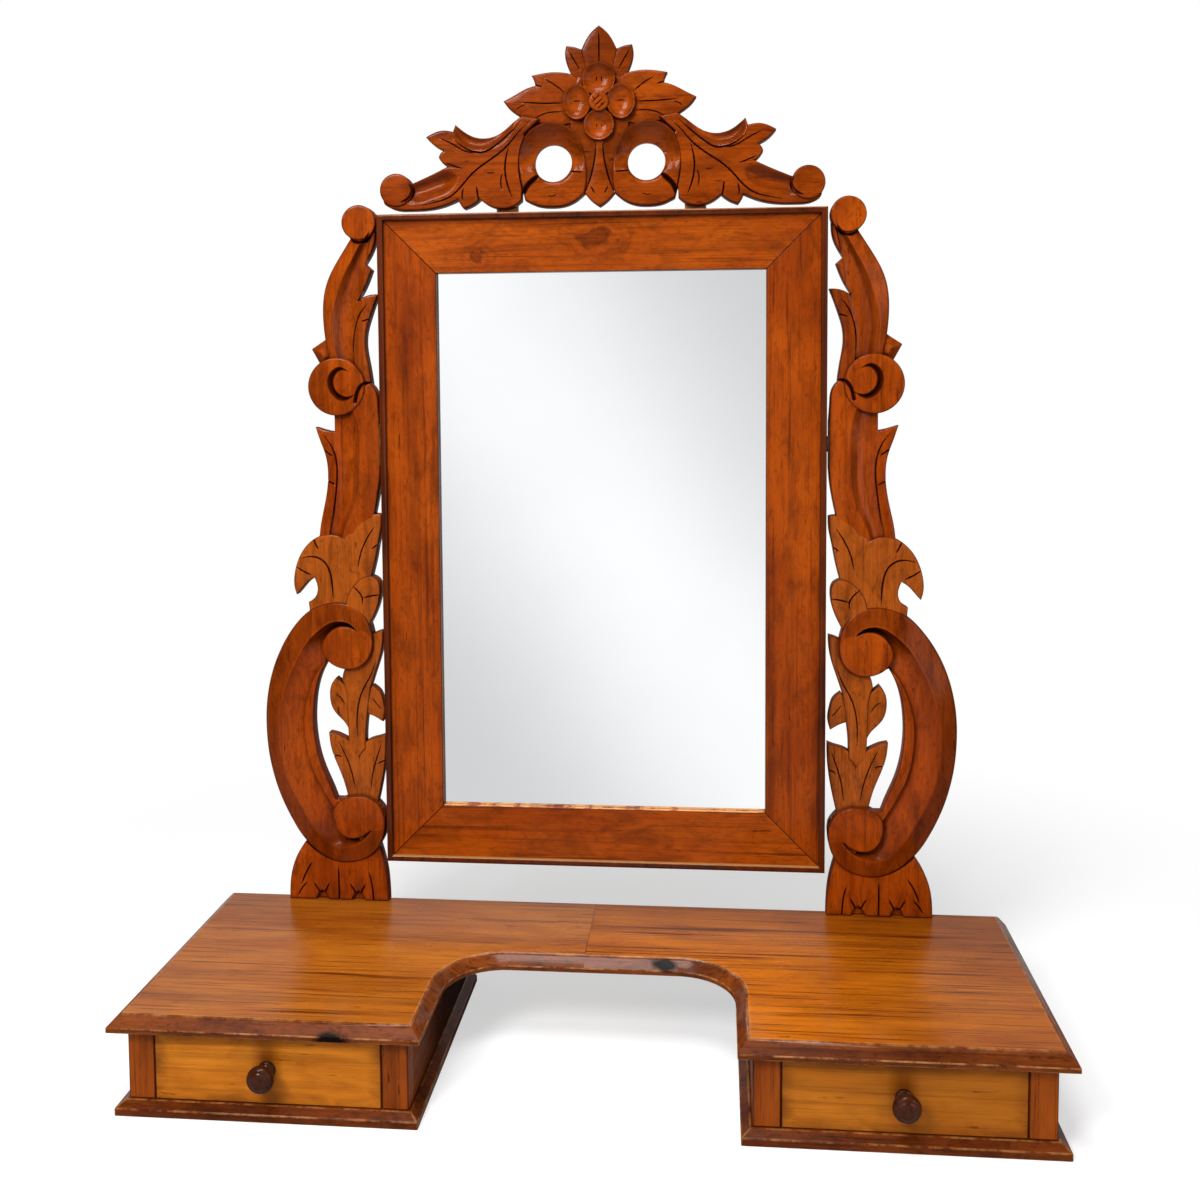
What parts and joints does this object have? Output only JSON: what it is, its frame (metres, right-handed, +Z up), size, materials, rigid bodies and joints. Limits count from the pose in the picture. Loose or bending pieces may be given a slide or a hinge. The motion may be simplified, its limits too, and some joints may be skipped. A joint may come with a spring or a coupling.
{
  "type": "dressing table mirror",
  "caption": "Table-top dressing mirror: a framed looking glass with a carved crest tilts between carved scroll supports, on a moulded base with small drawers either side of a recess.",
  "frame": {"origin": "centre of the footprint, on the surface that the base stands on", "axes": "+X to the viewer's right along the front, +Y to the back, +Z up"},
  "size_m": [0.84, 0.302, 1.013],
  "materials": {
    "top_wood": "aged shellac, satin gloss",
    "case_wood": "aged shellac, satin",
    "drawer_front_wood": "aged shellac, satin",
    "carved_wood": "aged shellac, darker in the hollows",
    "frame_wood": "aged shellac, mottled",
    "bead_wood": "dark polish",
    "knob_wood": "dark stain, glossy",
    "inner_wood": "bare softwood",
    "silvered_glass": "silvered plate glass",
    "brass": "aged",
    "steel": "dull",
    "leather": "worn"
  },
  "bodies": {
    "base": {"back_panel_left": "inner_wood", "back_panel_right": "inner_wood", "batten_screws": "steel", "bottom_board_left": "case_wood", "bottom_board_right": "case_wood", "inner_guide_left": "inner_wood", "inner_guide_right": "inner_wood", "inner_side_left": "case_wood", "inner_side_right": "case_wood", "inner_stile_left": "case_wood", "inner_stile_right": "case_wood", "outer_guide_left": "inner_wood", "outer_guide_right": "inner_wood", "outer_side_left": "case_wood", "outer_side_right": "case_wood", "outer_stile_left": "case_wood", "outer_stile_right": "case_wood", "pivot_plate_left": "brass", "pivot_plate_right": "brass", "pivot_plate_screws": "steel", "pivot_washer_left": "leather", "pivot_washer_right": "leather", "support_fixing_screws": "steel", "support_left": "carved_wood", "support_right": "carved_wood", "top_board_left": "top_wood", "top_board_right": "top_wood", "top_joint_batten": "inner_wood"},
    "mirror": {"backing_board": "inner_wood", "backing_pins": "steel", "bead_bottom": "bead_wood", "bead_left": "bead_wood", "bead_right": "bead_wood", "bead_top": "bead_wood", "bottom_rail": "frame_wood", "crest_batten_left": "inner_wood", "crest_batten_right": "inner_wood", "crest_panel": "carved_wood", "crest_screws": "steel", "left_stile": "frame_wood", "mirror_glass": "silvered_glass", "right_stile": "frame_wood", "socket_plate_left": "brass", "socket_plate_right": "brass", "socket_plate_screws": "steel", "top_rail": "frame_wood"},
    "drawer_left": {"drawer_back_left": "inner_wood", "drawer_bottom_left": "inner_wood", "drawer_front_left": "drawer_front_wood", "drawer_inner_side_left": "inner_wood", "drawer_knob_left": "knob_wood", "drawer_outer_side_left": "inner_wood"},
    "drawer_right": {"drawer_back_right": "inner_wood", "drawer_bottom_right": "inner_wood", "drawer_front_right": "drawer_front_wood", "drawer_inner_side_right": "inner_wood", "drawer_knob_right": "knob_wood", "drawer_outer_side_right": "inner_wood"}
  },
  "joints": [
    {"name": "mirror_tilt", "type": "hinge", "parent": "base", "child": "mirror", "pos_m": [0, 0.132, 0.58502], "axis": [1, 0, 0], "range_deg": [-60, 60]},
    {"name": "drawer_left_slide", "type": "slide", "parent": "base", "child": "drawer_left", "axis": [0, -1, 0], "range_m": [0, 0.18]},
    {"name": "drawer_right_slide", "type": "slide", "parent": "base", "child": "drawer_right", "axis": [0, -1, 0], "range_m": [0, 0.18]}
  ]
}
